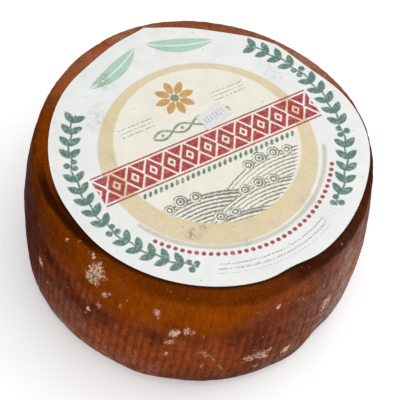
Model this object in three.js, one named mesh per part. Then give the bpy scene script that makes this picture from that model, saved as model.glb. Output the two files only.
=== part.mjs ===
// A whole wheel of mature sheep's milk cheese. It lies on its base, with a round printed
// paper label glued to its upper face and a small price sticker on the paper.
//
// Units are millimetres and +Z is up. The origin is the middle of the base. Azimuths are
// degrees round the wheel's axis, from +X towards +Y.

import * as THREE from "three";
import { mergeVertices } from "three/addons/utils/BufferGeometryUtils.js";

// The wheel's body: a low barrel, rounded at the foot and at the shoulder.
const WHEEL_RADIUS = 100;
const WHEEL_HEIGHT = 95;
const WIDEST_HEIGHT = 45;
const BARREL_SPAN = 50;
const BARREL_DROP = 4.1; // how much narrower the side is BARREL_SPAN above its widest ring
const FOOT_RADIUS = 12;
const SHOULDER_RADIUS = 3.5;

// The hoop that pressed the curd wasn't quite round: each lobe adds a wave to the radius.
const LOBES = [
  { waves: 2, size: 0.25, azimuth: 103 },
  { waves: 3, size: 0.75, azimuth: 15 },
  { waves: 4, size: 0.6, azimuth: 27 },
];

// The mould's slats left upright ribs on the lower two thirds of the side.
const RIB_COUNT = 132;
const RIB_DEPTH = 0.7;
const RIB_LEAN = 4; // degrees of azimuth that a rib leans in LEAN_HEIGHT
const LEAN_HEIGHT = 100;
const RIB_FOOT = [7, 22]; // heights between which the ribs grow out of the foot
const RIB_TOP = [48, 80]; // heights between which they fade away again

// Knocks and swellings round the foot. A negative size is a dent.
const KNOCKS = [
  { azimuth: 326, height: 14, size: -1.4, spread: 7, rise: 16 },
  { azimuth: 313, height: 8, size: 0.9, spread: 6, rise: 12 },
  { azimuth: 259, height: 8, size: 0.8, spread: 6, rise: 12 },
  { azimuth: 207, height: 10, size: 0.8, spread: 8, rise: 14 },
];

// A shallow crease runs part of the way round the upper face, beside the shoulder.
const CREASE_RADIUS = 90.7;
const CREASE_HALF_WIDTH = 2;
const CREASE_DEPTH = 0.8;
const CREASE_START = [188, 204]; // azimuths between which it deepens
const CREASE_END = [232, 250]; // azimuths between which it runs out
const CREASE_SWERVE = 4; // how far it swings towards the middle near its end
const CREASE_BEND = [200, 234];

// The paper label, a disc that was trimmed unevenly along its edge.
const PAPER_GAP = 0.3;
const PAPER_THICKNESS = 0.3;
const LABEL_RADIUS = 89.7;
const LABEL_CENTRE = new THREE.Vector2(3, 3);
const TRIMS = [
  { azimuth: 54, depth: 5.3, spread: 16 },
  { azimuth: 90, depth: 5.6, spread: 21 },
  { azimuth: 147, depth: 1.8, spread: 12 },
  { azimuth: 222, depth: 0.6, spread: 10 },
  { azimuth: 308, depth: 2.0, spread: 8 },
  { azimuth: 14, depth: -1.9, spread: 17 },
];
const CORNERS = [
  { azimuth: 121, height: 3.2, spread: 5 },
  { azimuth: 69, height: 0.9, spread: 3.5 },
];

// The price sticker, with the wavy short ends that a roll of such stickers has.
const STICKER_LENGTH = 18.6;
const STICKER_WIDTH = 11.4;
const STICKER_THICKNESS = 0.2;
const STICKER_CENTRE = new THREE.Vector2(3.4, 25.9);
const STICKER_AZIMUTH = 50.5;
const STICKER_WAVES = 2;
const STICKER_WAVE_SIZE = 0.45;

// How finely the surfaces are divided.
const WHEEL_COLUMNS = 2 * RIB_COUNT;
const SIDE_HEIGHTS = [24, 36, 45, 54, 62, 70, 81];
const EDGE_STEPS = 3;
const LABEL_COLUMNS = 120;
const LABEL_RINGS = [0.9, 0.96];
const WAVE_STEPS = 24;

const DEGREE = Math.PI / 180;
const TURN = 360;

// 1 at the middle of a bell-shaped bump and close to 0 two spreads away from it.
function bell(distance, spread) {
  return Math.exp(-((distance / spread) ** 2));
}

// The shorter way round from one azimuth to another, in degrees.
function azimuthGap(from, to) {
  return THREE.MathUtils.euclideanModulo(to - from + TURN / 2, TURN) - TURN / 2;
}

// The side's radius at a height, without lobes, ribs and knocks: a parabola.
function barrelRadius(height) {
  return WHEEL_RADIUS - BARREL_DROP * ((height - WIDEST_HEIGHT) / BARREL_SPAN) ** 2;
}

// What the lobes multiply the radius by.
function lobeScale(azimuth) {
  const wave = LOBES.reduce(
    (sum, lobe) => sum + lobe.size * Math.cos(lobe.waves * (azimuth - lobe.azimuth) * DEGREE), 0);
  return 1 + wave / WHEEL_RADIUS;
}

// How far the knocks move the side out at an azimuth and a height.
function knockSize(azimuth, height) {
  return KNOCKS.reduce((sum, knock) => {
    const around = bell(azimuthGap(knock.azimuth, azimuth), knock.spread);
    return sum + knock.size * around * bell(height - knock.height, knock.rise);
  }, 0);
}

// How strongly the ribs show at a height, from 0 to 1.
function ribStrength(height) {
  const grown = THREE.MathUtils.smoothstep(height, ...RIB_FOOT);
  return grown * (1 - THREE.MathUtils.smoothstep(height, ...RIB_TOP));
}

// The crease's depth at an azimuth, and how far it has swung towards the middle there.
function creaseDepth(azimuth) {
  const begun = THREE.MathUtils.smoothstep(azimuth, ...CREASE_START);
  return CREASE_DEPTH * begun * (1 - THREE.MathUtils.smoothstep(azimuth, ...CREASE_END));
}

function creaseShift(azimuth) {
  return CREASE_SWERVE * THREE.MathUtils.smoothstep(azimuth, ...CREASE_BEND);
}

const SHOULDER_FOOT = WHEEL_HEIGHT - SHOULDER_RADIUS;
const FACE_RADIUS = barrelRadius(SHOULDER_FOOT) - SHOULDER_RADIUS;

// Points along a quarter circle, the first one left out, turning from one direction to the next.
function quarter(centreRadius, centreHeight, size, startDegrees) {
  return Array.from({ length: EDGE_STEPS }, (_, index) => {
    const turn = (startDegrees + 90 * (index + 1) / EDGE_STEPS) * DEGREE;
    return new THREE.Vector2(centreRadius + size * Math.cos(turn), centreHeight + size * Math.sin(turn));
  });
}

// The wheel's half section, from the middle of the base round to the middle of the upper face.
function wheelProfile() {
  const footCentre = barrelRadius(FOOT_RADIUS) - FOOT_RADIUS;
  return [
    new THREE.Vector2(0, 0),
    new THREE.Vector2(footCentre, 0),
    ...quarter(footCentre, FOOT_RADIUS, FOOT_RADIUS, -90),
    ...SIDE_HEIGHTS.map((height) => new THREE.Vector2(barrelRadius(height), height)),
    new THREE.Vector2(barrelRadius(SHOULDER_FOOT), SHOULDER_FOOT),
    ...quarter(FACE_RADIUS, SHOULDER_FOOT, SHOULDER_RADIUS, 0),
    new THREE.Vector2(CREASE_RADIUS + CREASE_HALF_WIDTH, WHEEL_HEIGHT),
    new THREE.Vector2(CREASE_RADIUS, WHEEL_HEIGHT),
    new THREE.Vector2(CREASE_RADIUS - CREASE_HALF_WIDTH, WHEEL_HEIGHT),
    new THREE.Vector2(0, WHEEL_HEIGHT),
  ];
}

// A turned shape whose points are then moved one by one. place(radius, height, azimuth)
// gives a point's new [radius, height, azimuth].
function shapedLathe(profile, columns, place) {
  const turned = new THREE.LatheGeometry(profile, columns);
  turned.rotateX(Math.PI / 2);
  turned.deleteAttribute("normal");
  turned.deleteAttribute("uv");
  const shaped = mergeVertices(turned, 1e-3);
  const position = shaped.getAttribute("position");
  for (let index = 0; index < position.count; index += 1) {
    const x = position.getX(index);
    const y = position.getY(index);
    const azimuth = THREE.MathUtils.euclideanModulo(Math.atan2(y, x) / DEGREE, TURN);
    const [radius, height, turn] = place(Math.hypot(x, y), position.getZ(index), azimuth);
    position.setXYZ(index, radius * Math.cos(turn * DEGREE), radius * Math.sin(turn * DEGREE), height);
  }
  shaped.computeVertexNormals();
  return shaped;
}

// Moves a point of the turned wheel to where lobes, ribs, knocks and crease put it. Ribs stand
// on every other column, and all columns lean with the ribs.
function shapeWheel(radius, height, column) {
  const azimuth = THREE.MathUtils.euclideanModulo(column + RIB_LEAN * height / LEAN_HEIGHT, TURN);
  const onFace = height > WHEEL_HEIGHT - 1e-3;
  const onCrease = onFace && Math.abs(radius - CREASE_RADIUS) < CREASE_HALF_WIDTH + 1e-3;
  const inCrease = onFace && Math.abs(radius - CREASE_RADIUS) < 1e-3;
  const onSide = !onFace && radius > barrelRadius(0) - FOOT_RADIUS;
  const rib = Math.cos(RIB_COUNT * column * DEGREE) * ribStrength(height) * RIB_DEPTH / 2;
  const relief = onSide ? rib + knockSize(azimuth, height) : 0;
  const shift = onCrease ? creaseShift(azimuth) : 0;
  const dip = inCrease ? creaseDepth(azimuth) : 0;
  return [(radius - shift) * lobeScale(azimuth) + relief, height - dip, azimuth];
}

// The label's radius round its own centre: the disc less its trims, with two sharp corners.
function labelRadius(azimuth) {
  const trimmed = TRIMS.reduce(
    (radius, trim) => radius - trim.depth * bell(azimuthGap(trim.azimuth, azimuth), trim.spread), LABEL_RADIUS);
  return CORNERS.reduce((radius, corner) => {
    const away = Math.abs(azimuthGap(corner.azimuth, azimuth));
    return radius + corner.height * Math.exp(-away / corner.spread);
  }, trimmed);
}

// The height of a sheet lying a clearance above the upper face, bent down over the shoulder.
function drapedHeight(point, clearance) {
  const azimuth = Math.atan2(point.y, point.x) / DEGREE;
  const past = Math.max(0, point.length() - FACE_RADIUS * lobeScale(azimuth));
  const bend = SHOULDER_RADIUS + clearance;
  return SHOULDER_FOOT + Math.sqrt(bend ** 2 - past ** 2);
}

// Moves a point of a flat disc of radius 1, with its faces at heights 0 and 1, into the label.
function shapeLabel(radius, height, azimuth) {
  const reach = radius * labelRadius(azimuth);
  const turn = azimuth * DEGREE;
  const point = new THREE.Vector2(reach * Math.cos(turn), reach * Math.sin(turn)).add(LABEL_CENTRE);
  const clearance = PAPER_GAP + height * PAPER_THICKNESS;
  return [point.length(), drapedHeight(point, clearance), Math.atan2(point.y, point.x) / DEGREE];
}

function labelProfile() {
  const rings = [...LABEL_RINGS, 1];
  return [
    new THREE.Vector2(0, 0),
    ...rings.map((ring) => new THREE.Vector2(ring, 0)),
    ...rings.reverse().map((ring) => new THREE.Vector2(ring, 1)),
    new THREE.Vector2(0, 1),
  ];
}

// The sticker's outline: straight long sides, and short ends that are sine waves.
function stickerGeometry() {
  const waveAt = (share) => STICKER_WAVE_SIZE * Math.sin(TURN * DEGREE * STICKER_WAVES * share);
  const shares = Array.from({ length: WAVE_STEPS + 1 }, (_, index) => index / WAVE_STEPS);
  const rightEnd = shares.map((share) => new THREE.Vector2(
    STICKER_LENGTH / 2 + waveAt(share), (share - 0.5) * STICKER_WIDTH));
  const leftEnd = shares.map((share) => new THREE.Vector2(
    -STICKER_LENGTH / 2 - waveAt(share), (0.5 - share) * STICKER_WIDTH));
  const outline = new THREE.Shape([...rightEnd, ...leftEnd]);
  const sticker = new THREE.ExtrudeGeometry(outline, { depth: STICKER_THICKNESS, bevelEnabled: false });
  sticker.rotateZ(STICKER_AZIMUTH * DEGREE);
  return sticker;
}

const rind = new THREE.MeshStandardMaterial({ color: "#74390f", roughness: 0.42, metalness: 0 });
const paper = new THREE.MeshStandardMaterial({ color: "#ecebe4", roughness: 0.6, metalness: 0 });
const stickerPaper = new THREE.MeshStandardMaterial({ color: "#e3e4e8", roughness: 0.5, metalness: 0 });

function namedMesh(name, geometry, material) {
  const mesh = new THREE.Mesh(geometry, material);
  mesh.name = name;
  return mesh;
}

const wheel = namedMesh("cheese_wheel", shapedLathe(wheelProfile(), WHEEL_COLUMNS, shapeWheel), rind);
const label = namedMesh("paper_label", shapedLathe(labelProfile(), LABEL_COLUMNS, shapeLabel), paper);
const sticker = namedMesh("price_sticker", stickerGeometry(), stickerPaper);
const stickerHeight = WHEEL_HEIGHT + PAPER_GAP + PAPER_THICKNESS + PAPER_GAP;
sticker.position.set(STICKER_CENTRE.x, STICKER_CENTRE.y, stickerHeight);

// The lobes make the wheel reach further one way than the other, so the whole is moved to put
// the middle of its outline over the origin.
const middle = new THREE.Box3().setFromObject(wheel).getCenter(new THREE.Vector3());
const cheese = new THREE.Group();
cheese.add(wheel, label, sticker);
cheese.position.set(-middle.x, -middle.y, 0);

export default cheese;
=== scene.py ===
"""Dresses a whole wheel of mature sheep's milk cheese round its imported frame.

The wheel, its paper label and its price sticker are surfaces worked out with numpy on grids.
The shape functions work in millimetres, and the meshes are written in metres. Azimuths are
degrees round the wheel's axis, from +X towards +Y.
"""

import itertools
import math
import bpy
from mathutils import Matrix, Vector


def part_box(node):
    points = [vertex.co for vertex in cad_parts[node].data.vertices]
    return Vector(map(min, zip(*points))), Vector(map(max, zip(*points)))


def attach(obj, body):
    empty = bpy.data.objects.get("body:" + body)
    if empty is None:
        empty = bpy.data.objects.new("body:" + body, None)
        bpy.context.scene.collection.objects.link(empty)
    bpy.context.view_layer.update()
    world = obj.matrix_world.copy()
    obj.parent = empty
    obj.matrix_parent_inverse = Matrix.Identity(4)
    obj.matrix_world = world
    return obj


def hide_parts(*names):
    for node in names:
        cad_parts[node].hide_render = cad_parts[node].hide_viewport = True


bl_info = {
    "name": "Sheep Milk Cheese Wheel",
    "version": (1, 0, 0),
    "blender": (4, 5, 0),
    "location": "3D View > Sidebar > Cheese",
    "description": "Builds a ribbed wheel of cheese with a printed paper label and a price sticker",
    "category": "Add Mesh",
}

import bpy
import numpy as np
from bpy.props import FloatProperty, FloatVectorProperty, IntProperty, PointerProperty
from bpy.types import Operator, Panel, PropertyGroup
from mathutils import Vector

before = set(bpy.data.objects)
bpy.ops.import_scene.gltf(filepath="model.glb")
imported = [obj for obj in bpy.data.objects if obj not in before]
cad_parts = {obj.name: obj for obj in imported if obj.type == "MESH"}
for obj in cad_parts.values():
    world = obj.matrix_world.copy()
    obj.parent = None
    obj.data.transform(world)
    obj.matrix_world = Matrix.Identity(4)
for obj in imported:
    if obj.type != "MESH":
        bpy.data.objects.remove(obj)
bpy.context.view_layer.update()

MM = 0.001

# The wheel's half section, as its solid has it.
WIDEST_HEIGHT = 45.0
BARREL_SPAN = 50.0
BARREL_DROP = 4.1
FOOT_RADIUS = 12.0
SHOULDER_RADIUS = 3.5
WHEEL_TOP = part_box("cheese_wheel")[1].z / MM
SHOULDER_FOOT = WHEEL_TOP - SHOULDER_RADIUS
EASE_REACH = 3.0  # how far along the section the rind rounds off the shoulder
LOBES = ((2, 0.25, 103), (3, 0.75, 15), (4, 0.6, 27))  # waves, size and azimuth of each

# Ribs: the degrees that they lean over LEAN_HEIGHT, and where they grow and fade.
RIB_LEAN = 4.0
LEAN_HEIGHT = 100.0
RIB_FOOT = (7, 22)
RIB_TOP = (48, 80)
GROOVE_SHARPNESS = 2.2

# Knocks and swellings round the foot: azimuth, height, size, spread round and spread up.
KNOCKS = (
    (326, 14, -1.4, 7, 16),
    (313, 8, 0.9, 6, 12),
    (259, 8, 0.8, 6, 12),
    (207, 10, 0.8, 8, 14),
)

# Noise on the rind, as layers: the strength of each in mm, its size in mm and its seed.
RIB_FADING = ((14, 26, 14),)
RIB_UNEVENNESS = ((0.4, 17, 1), (0.2, 5, 2))  # a share of the rib's depth
RIB_SWAY = ((0.7, 30, 3), (0.2, 8, 13))  # radians of the rib's wave
LUMPS = ((1, 34, 4), (0.4, 9, 5))  # a share of the lump size
DRAG_MARKS = ((0.14, 2.4, 6),)
DRAG_STRETCH = 0.16  # heights are shortened so far that the marks are long
GRAIN = ((0.06, 1.8, 7),)
PITS = ((1, 3.1, 8),)
PIT_DEPTH = 0.7
PITTED_SIDE = 322  # the azimuth where pits are deepest
PITTED_SPREAD = 32
CRUST_HEIGHT = 0.18
CRUST_GRAIN = ((0.22, 1.3, 9),)
MOULD_EDGE = ((0.3, 2.2, 41), (0.2, 1.1, 42))  # a share of the patch's radius

# The crease on the upper face, beside the shoulder.
CREASE_RADIUS = 90.7
CREASE_SPREAD = 1.3
CREASE_DEPTH = 0.8
CREASE_START = (188, 204)
CREASE_END = (232, 250)
CREASE_SWERVE = 4.0
CREASE_BEND = (200, 234)

# The label's outline and where its paper lies.
PAPER_GAP = 0.3
PAPER_THICKNESS = 0.3
LABEL_CENTRE = np.array((3.0, 3.0))
TRIMS = (  # azimuth, depth and spread of each uneven cut
    (54, 5.3, 16),
    (90, 5.6, 21),
    (147, 1.8, 12),
    (222, 0.6, 10),
    (308, 2.0, 8),
    (14, -1.9, 17),
)
CORNERS = ((121, 3.2, 5), (69, 0.9, 3.5))  # azimuth, height and spread
STICKER_CENTRE = np.array((3.4, 25.9))
STICKER_WAVES = 2
STICKER_WAVE_SIZE = 0.45

# The solids were moved so that the wheel's box is centred on the origin. The sticker's outline
# is the same turned half round, so its box says by how much.
STICKER_LOW, STICKER_HIGH = (np.array(corner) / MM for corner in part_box("price_sticker"))
SHIFT = np.append(((STICKER_LOW + STICKER_HIGH) / 2)[:2] - STICKER_CENTRE, 0)

# How finely the pieces are divided.
COLUMNS_PER_RIB = 7
FOOT_RINGS = 12
SIDE_RINGS = 66
SHOULDER_RINGS = 7
STRIP_RINGS = 13
STRIP_RADIUS = 83.0  # the upper face is finely divided outside this, where it shows
LABEL_CELLS = 300
STICKER_CELLS = 60
SHEET_RINGS = (1, 0.985, 0.94, 0.8, 0.4)

# Spots of mould on the side: azimuth, climb along the section from the edge of the base, width
# and length of the patch, how many degrees it leans, and how thickly it has grown.
MOULD_SPOTS = (
    (240.8, 97.4, 11.8, 9.6, 0, 0.73),
    (239.5, 90.2, 9.2, 9.0, 0, 0.69),
    (236.9, 104.6, 1.7, 5.6, -38, 0.75),
    (226.2, 100.8, 1.9, 2.8, 0, 0.95),
    (229.7, 105.3, 1.4, 2.6, -20, 0.45),
    (215.6, 56.0, 3.2, 9.0, -18, 0.8),
    (220.9, 46.5, 1.4, 5.0, -14, 0.45),
    (245.0, 83.0, 2.8, 5.2, 8, 0.95),
    (246.8, 86.6, 1.8, 4.2, 40, 0.45),
    (243.5, 70.0, 2.1, 6.0, 0, 0.75),
    (240.0, 61.2, 2.9, 3.6, 0, 0.85),
    (239.1, 56.4, 1.7, 2.6, 0, 0.5),
    (250.8, 81.0, 1.9, 5.6, -10, 0.4),
    (250.4, 90.2, 1.2, 2.2, 0, 0.35),
    (252.9, 88.2, 1.3, 2.3, 0, 0.45),
    (262.7, 87.2, 3.6, 5.8, 0, 0.8),
    (263.4, 82.4, 1.3, 2.2, 0, 0.6),
    (269.3, 71.3, 5.6, 7.8, 24, 1.0),
    (272.9, 74.6, 3.6, 6.6, -6, 0.68),
    (274.9, 73.4, 2.8, 5.0, 0, 0.5),
    (267.7, 61.2, 4.8, 3.8, 20, 0.65),
    (269.0, 63.4, 2.0, 2.4, 0, 0.5),
    (267.4, 48.2, 2.1, 3.8, 0, 0.85),
    (273.0, 64.0, 1.4, 3.0, 0, 0.4),
    (278.5, 70.6, 1.2, 2.0, 0, 0.75),
    (279.2, 37.6, 1.3, 3.4, 0, 0.6),
    (278.8, 54.0, 7.0, 4.6, 10, 0.38),
    (279.8, 50.0, 2.4, 4.0, 0, 0.4),
    (282.8, 45.2, 1.9, 9.0, -25, 0.4),
    (285.4, 34.5, 1.9, 9.0, -22, 0.4),
    (302.3, 86.3, 2.5, 3.4, 0, 0.95),
    (309.9, 83.8, 1.8, 3.4, 0, 0.6),
    (294.8, 88.0, 1.1, 2.2, 0, 0.5),
    (321.6, 79.0, 2.6, 4.0, 0, 0.4),
    (297.2, 38.8, 15.5, 9.0, -4, 0.48),
    (294.3, 40.2, 4.2, 4.8, 0, 0.62),
    (299.6, 37.6, 6.4, 7.6, 0, 0.7),
    (301.6, 42.6, 3.0, 3.6, 0, 0.75),
    (301.0, 34.6, 3.4, 3.6, 0, 0.7),
    (298.2, 25.6, 4.4, 4.2, -20, 0.42),
    (308.8, 31.6, 5.8, 8.0, 20, 0.95),
    (324.0, 56.0, 7.4, 12.0, 24, 0.7),
    (322.4, 45.4, 2.4, 5.0, 0, 0.4),
    (195.0, 40.0, 2.6, 6.0, -10, 0.6),
    (150.0, 62.0, 4.5, 7.0, 12, 0.8),
    (118.0, 84.0, 3.0, 4.0, 0, 0.8),
    (96.0, 44.0, 8.0, 7.0, -20, 0.7),
    (70.0, 70.0, 2.6, 6.0, 8, 0.8),
    (41.0, 52.0, 5.0, 9.0, 14, 0.8),
    (12.0, 36.0, 3.4, 6.0, 0, 0.65),
)

# Marks of dirt and damp on the label: how far right and up on the label, their size, strength.
LABEL_STAINS = (
    (-31, 67, 6, 1.0),
    (-37, -46, 5, 1.0),
    (-29, -43, 3.5, 0.9),
    (-46, 46, 9, 0.45),
    (10, 74, 6, 0.4),
    (-52, 20, 6, 0.3),
    (31, -56, 7, 0.35),
    (-12, -63, 4, 0.5),
    (60, 30, 8, 0.3),
    (14, 2, 7, 0.35),
)


# ---------------------------------------------------------------- settings that a user changes


def linear(hex_colour):
    """An sRGB colour such as "#7a3413" as linear red, green, blue and alpha."""
    channels = [int(hex_colour[start:start + 2], 16) / 255 for start in (1, 3, 5)]
    low = [channel / 12.92 for channel in channels]
    high = [((channel + 0.055) / 1.055) ** 2.4 for channel in channels]
    parts = [a if channel <= 0.04045 else b for channel, a, b in zip(channels, low, high)]
    return (*parts, 1.0)


def length(name, description, millimetres):
    """A length setting, whose default is given in millimetres."""
    return FloatProperty(name=name, description=description, default=millimetres * MM, min=0,
                         unit="LENGTH", subtype="DISTANCE", precision=4)


def colour(name, description, hex_colour):
    """A colour setting, whose default is given as an sRGB hex value."""
    return FloatVectorProperty(name=name, description=description, default=linear(hex_colour),
                               min=0, max=1, size=4, subtype="COLOR")


class WheelSettings(PropertyGroup):
    """The wheel of cheese and its rind"""

    radius: length("Radius", "Radius of the widest ring of the side", 100)
    rib_count: IntProperty(name="Ribs", description="Ribs that the mould left round the side",
                           default=132, min=3)
    rib_depth: length("Rib depth", "Height of a rib above the grooves beside it", 0.7)
    lump_size: length("Lump size", "How far the side strays from its true form", 0.45)
    amber: colour("Amber", "Oiled rind on the upper half of the side", "#a54b02")
    russet: colour("Russet", "Ribbed rind on the lower half of the side", "#9a4923")
    # Dusk is also painted as shade over the left flank.
    dusk: colour("Dusk", "Smoked patches of the rind, purple-brown", "#552114")
    # Painted shade: dark colour over the shoulder, as a shadow beside the label's edge, in the crease
    # and in pores.
    deep: colour("Deep", "Oil-soaked rind in creases and beside the label", "#260d03")
    # Painted reflection: the pale floor and room reflected at grazing angles, on the right, the far rim
    # and the foot.
    bloom: colour("Bloom", "Dry, dusty rind at the right and along the far rim", "#b08f82")
    mould: colour("Mould", "Dry mould on the rind", "#f6cfb4")


class LabelSettings(PropertyGroup):
    """The paper label and its inks"""

    radius: length("Radius", "Radius of the label before its uneven cuts", 89.7)
    turn: FloatProperty(name="Turn", description="Azimuth that the print runs towards",
                        default=math.radians(36.5), unit="ROTATION", subtype="ANGLE")
    ripple: length("Ripple", "How far the glued paper ripples", 0.12)
    paper: colour("Paper", "White paper", "#f4f5f2")
    cream: colour("Cream", "Tint inside the ring", "#f5f0dc")
    tan: colour("Tan", "The broad ring", "#e2cd9c")
    khaki: colour("Khaki", "The narrow ring", "#c9c6a8")
    pale_green: colour("Pale green", "The pair of large leaves", "#a9d3bb")
    green: colour("Green", "The laurel branches", "#3f7262")
    olive: colour("Olive", "The braid", "#6d8460")
    ochre: colour("Ochre", "The rosette", "#cf9440")
    red: colour("Red", "The frieze and the beads", "#ad1c28")
    grey: colour("Grey", "The engraved fields and the fine rules", "#5f5c52")
    stain: colour("Stain", "Damp and dirt in the paper", "#7f7853")


class StickerSettings(PropertyGroup):
    """The price sticker"""

    length: length("Length", "Length of the sticker between its wavy ends", 18.6)
    width: length("Width", "Width of the sticker", 11.4)
    turn: FloatProperty(name="Turn", description="Azimuth that the sticker's length runs towards",
                        default=math.radians(50.5), unit="ROTATION", subtype="ANGLE")
    curl: length("Curl", "How far the sticker's ends stand up", 0.25)
    paper: colour("Paper", "White coated paper", "#e9e8e6")
    ink: colour("Ink", "Faint strokes of the marking gun", "#8c86a6")


class StageSettings(PropertyGroup):
    """The floor, the lights and the camera"""

    floor_radius: length("Floor radius", "Radius of the round floor", 4000)
    floor: colour("Floor", "Plain pale floor", "#e8e8e9")
    lens: FloatProperty(name="Lens", description="Focal length on a 36 mm sensor", default=162,
                        unit="CAMERA", min=1)
    camera_place: FloatVectorProperty(
        name="Camera place", description="Where the camera stands, from the wheel's own axis",
        default=(0, -0.58117, 0.91791), subtype="TRANSLATION", unit="LENGTH")
    camera_turn: FloatVectorProperty(
        name="Camera turn", description="How the camera is tilted, rolled and panned",
        default=[math.radians(angle) for angle in (33.44, -4.59, 6.68)], subtype="EULER",
        unit="ROTATION")


# ---------------------------------------------------------------------- numbers and noise


def smoothstep(value, low, high):
    """0 at low, 1 at high and the cubic 3s^2 - 2s^3 between, s being the share passed. It falls
    where low is the greater of the two."""
    share = np.clip((value - low) / (high - low), 0, 1)
    return share * share * (3 - 2 * share)


def bell(distance, spread):
    """The bump e^-(distance / spread)^2: 1 at its middle, close to 0 two spreads away."""
    return np.exp(-((distance / spread) ** 2))


def azimuth_gap(start, end):
    """The shorter way round from one azimuth to another, in degrees."""
    return (end - start + 180) % 360 - 180


def turned(x, y, angle):
    """The coordinates of points in axes that are turned by an angle in radians."""
    return x * math.cos(angle) + y * math.sin(angle), y * math.cos(angle) - x * math.sin(angle)


NOISE_CELLS = 32


def noise(points, size, seed):
    """Smooth random values from -1 to 1 with bumps of a size: random numbers on a cubic lattice,
    blended over each cell by 3s^2 - 2s^3 along each axis."""
    table = np.random.default_rng(seed).uniform(-1, 1, (NOISE_CELLS,) * 3)
    scaled = points / size + seed
    corner = np.floor(scaled).astype(int)
    share = smoothstep(scaled - corner, 0, 1)
    total = 0
    for step in itertools.product((0, 1), repeat=3):
        near = (corner + step) % NOISE_CELLS
        weight = np.where(step, share, 1 - share).prod(axis=-1)
        total = total + weight * table[near[..., 0], near[..., 1], near[..., 2]]
    return total


def layered(points, layers):
    """The sum of layers of noise, given as the strength, the size and the seed of each."""
    return sum(strength * noise(points, size, seed) for strength, size, seed in layers)


def through(pairs, where):
    """Straight lines through pairs of a place and a value."""
    places, values = zip(*pairs)
    return np.interp(where, places, values)


def bumps(rows, azimuth, height):
    """The sum of bumps, each its strength times a bell round the wheel and a bell up it."""
    return sum(strength * bell(azimuth_gap(middle, azimuth), around) * bell(height - level, rise)
               for middle, level, strength, around, rise in rows)


def stretches(rows, azimuth, height):
    """The sum of stretches, each its strength times a bell round the wheel. Each grows from
    nothing at its first height to all its strength at its second."""
    return sum(strength * bell(azimuth_gap(middle, azimuth), around) * smoothstep(height, none, full)
               for middle, around, strength, none, full in rows)


# -------------------------------------------------------------------------- meshes and nodes


def make_piece(name, points, faces, values, material):
    """A smooth mesh from points in millimetres, arrays of faces with 3 or 4 corners each, and
    one number a point for each named value that its material reads."""
    corners = np.concatenate([group.ravel() for group in faces])
    counts = np.concatenate([np.full(len(group), group.shape[1]) for group in faces])
    mesh = bpy.data.meshes.new(name)
    mesh.vertices.add(len(points))
    mesh.vertices.foreach_set("co", ((points + SHIFT) * MM).ravel())
    mesh.loops.add(len(corners))
    mesh.loops.foreach_set("vertex_index", corners)
    mesh.polygons.add(len(counts))
    mesh.polygons.foreach_set("loop_start", np.cumsum(counts) - counts)
    mesh.polygons.foreach_set("use_smooth", np.ones(len(counts), bool))
    mesh.update(calc_edges=True)
    for key, numbers in values.items():
        mesh.attributes.new(key, "FLOAT", "POINT").data.foreach_set("value", numbers.ravel())
    mesh.materials.append(material)
    if mesh.validate(verbose=True):
        raise RuntimeError(f"the faces of {name} don't fit together")
    piece = bpy.data.objects.new(name, mesh)
    bpy.context.scene.collection.objects.link(piece)
    return piece


def grid_faces(rows, columns, closed=False):
    """The four-cornered faces of a grid of points, row by row. A closed grid joins its last
    column to its first."""
    row = np.arange(rows - 1)[:, None]
    column = np.arange(columns if closed else columns - 1)[None, :]
    after = (column + 1) % columns
    low = row * columns
    high = low + columns
    return np.stack([low + column, low + after, high + after, high + column], -1).reshape(-1, 4)


def sheet_piece(name, cells, place, values, material):
    """A thin closed sheet. place(u, v, side) gives points for u and v from -1 to 1, side being
    1 on its upper surface and 0 below. The upper surface is a grid. Below it, rings of points
    that shrink towards the middle close the sheet."""
    steps = np.linspace(-1, 1, cells + 1)
    u, v = np.meshgrid(steps, steps)
    index = np.arange(u.size).reshape(u.shape)
    edge = np.concatenate([index[0, :-1], index[:-1, -1], index[-1, :0:-1], index[:0:-1, 0]])
    rim_u, rim_v = u.ravel()[edge], v.ravel()[edge]
    share = np.array(SHEET_RINGS)[:, None]
    under_u = np.append((share * rim_u).ravel(), 0)
    under_v = np.append((share * rim_v).ravel(), 0)
    all_u = np.concatenate([u.ravel(), under_u])
    all_v = np.concatenate([v.ravel(), under_v])
    side = np.concatenate([np.ones(u.size), np.zeros(under_u.size)])
    points = place(all_u, all_v, side)
    below = grid_faces(len(SHEET_RINGS), len(edge), closed=True)[:, ::-1] + u.size
    first = u.size + np.arange(len(edge))
    rim = np.stack([first, np.roll(first, -1), np.roll(edge, -1), edge], -1)
    last = first + (len(SHEET_RINGS) - 1) * len(edge)
    fan = np.stack([last, np.full(len(edge), len(points) - 1), np.roll(last, -1)], -1)
    faces = [grid_faces(cells + 1, cells + 1), below, rim, fan]
    piece = make_piece(name, points, faces, values(points), material)
    piece.data.set_sharp_from_angle(angle=math.radians(50))
    return piece


def add(tree, kind, sources=None, **settings):
    """Adds a node. Sources are its inputs by name or number, each another node's socket or a
    constant, and settings are the node's own properties."""
    made = tree.nodes.new(kind)
    for key, value in settings.items():
        setattr(made, key, value)
    for key, value in (sources or {}).items():
        if isinstance(value, bpy.types.NodeSocket):
            tree.links.new(value, made.inputs[key])
        else:
            made.inputs[key].default_value = value
    return made.outputs


def new_material(name, **constants):
    """A material with its node tree and its shader, whose constant sockets are set here."""
    material = bpy.data.materials.new(name)
    material.use_nodes = True
    shader = material.node_tree.nodes["Principled BSDF"]
    for key, value in constants.items():
        socket = key.replace("_", " ").title().replace("Ior", "IOR")
        shader.inputs[socket].default_value = value
    return material, material.node_tree, shader


def per(millimetres):
    """The Scale of a noise or cell texture whose grains have this size."""
    return 1 / (millimetres * MM)


COLOUR_A, COLOUR_B, COLOUR_OUT = 6, 7, 2  # the Mix node's sockets for colours


# ------------------------------------------------------------------------- the wheel's form


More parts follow.
